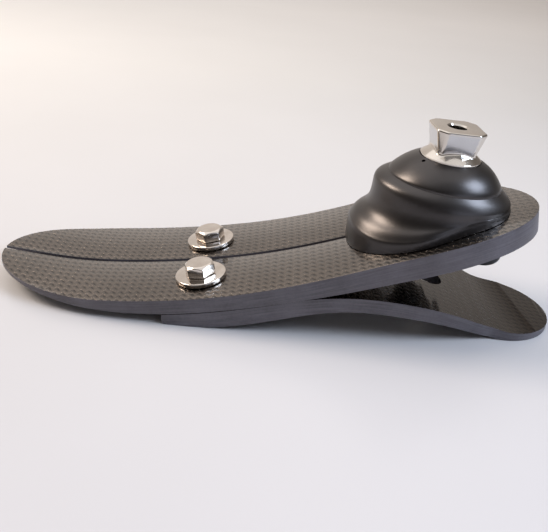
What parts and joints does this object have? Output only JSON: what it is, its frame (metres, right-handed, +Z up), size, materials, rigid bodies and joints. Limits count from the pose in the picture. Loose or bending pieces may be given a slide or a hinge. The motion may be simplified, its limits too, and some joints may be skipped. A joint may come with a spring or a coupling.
{
  "type": "energy storing prosthetic foot",
  "caption": "Split-toe carbon fibre prosthetic foot: a long curved keel leaf, a heel spring leaf below it and a domed ankle housing with a male pyramid adapter.",
  "frame": {"origin": "on the ground, in the middle of the foot's length and width", "axes": "+Z up, +X towards the heel, -X towards the toe, -Y towards the wearer's left"},
  "size_m": [0.2736, 0.079, 0.0934],
  "materials": {
    "carbon_laminate": "clear resin over a 2 by 2 twill weave, satin to gloss; cut edges plain dark grey",
    "bolt_nickel": "bright nickel plate, slightly worn",
    "washer_nickel": "bright nickel plate, fine turning marks",
    "insert_steel": "plain turned steel",
    "black_anodised": "fine bead blasted black anodising, satin",
    "polished_steel": "polished stainless steel with softly buffed edges",
    "black_steel": "blackened steel, satin"
  },
  "bodies": {
    "ankle": {"keel_rear": "carbon_laminate", "ankle_housing": "black_anodised", "pyramid_adapter": "polished_steel", "centre_bolt": "black_steel", "taper_washer": "black_steel", "rear_screw_left": "black_steel", "rear_screw_right": "black_steel", "rear_washer_left": "black_steel", "rear_washer_right": "black_steel", "grub_screw": "black_steel"},
    "forefoot": {"keel_middle_left": "carbon_laminate", "keel_middle_right": "carbon_laminate", "heel_clamp": "carbon_laminate", "bolt_left": "bolt_nickel", "bolt_right": "bolt_nickel", "washer_left": "washer_nickel", "washer_right": "washer_nickel", "threaded_insert_left": "insert_steel", "threaded_insert_right": "insert_steel"},
    "toe_left": {"toe_left": "carbon_laminate"},
    "toe_right": {"toe_right": "carbon_laminate"},
    "heel": {"heel_blade": "carbon_laminate"}
  },
  "joints": [
    {"name": "forefoot_flex", "type": "hinge", "parent": "ankle", "child": "forefoot", "pos_m": [0.01639, 0, 0.02426], "axis": [0, 1, 0], "range_deg": [0, 8], "stiffness_Nm_per_rad": 450},
    {"name": "toe_left_flex", "type": "hinge", "parent": "forefoot", "child": "toe_left", "pos_m": [-0.06664, 0, 0.00713], "axis": [0, 1, 0], "range_deg": [0, 10], "stiffness_Nm_per_rad": 70},
    {"name": "toe_right_flex", "type": "hinge", "parent": "forefoot", "child": "toe_right", "pos_m": [-0.06664, 0, 0.00713], "axis": [0, 1, 0], "range_deg": [0, 10], "stiffness_Nm_per_rad": 70},
    {"name": "heel_flex", "type": "hinge", "parent": "forefoot", "child": "heel", "pos_m": [0.0161, 0, 0.01526], "axis": [0, -1, 0], "range_deg": [0, 7], "stiffness_Nm_per_rad": 600}
  ]
}
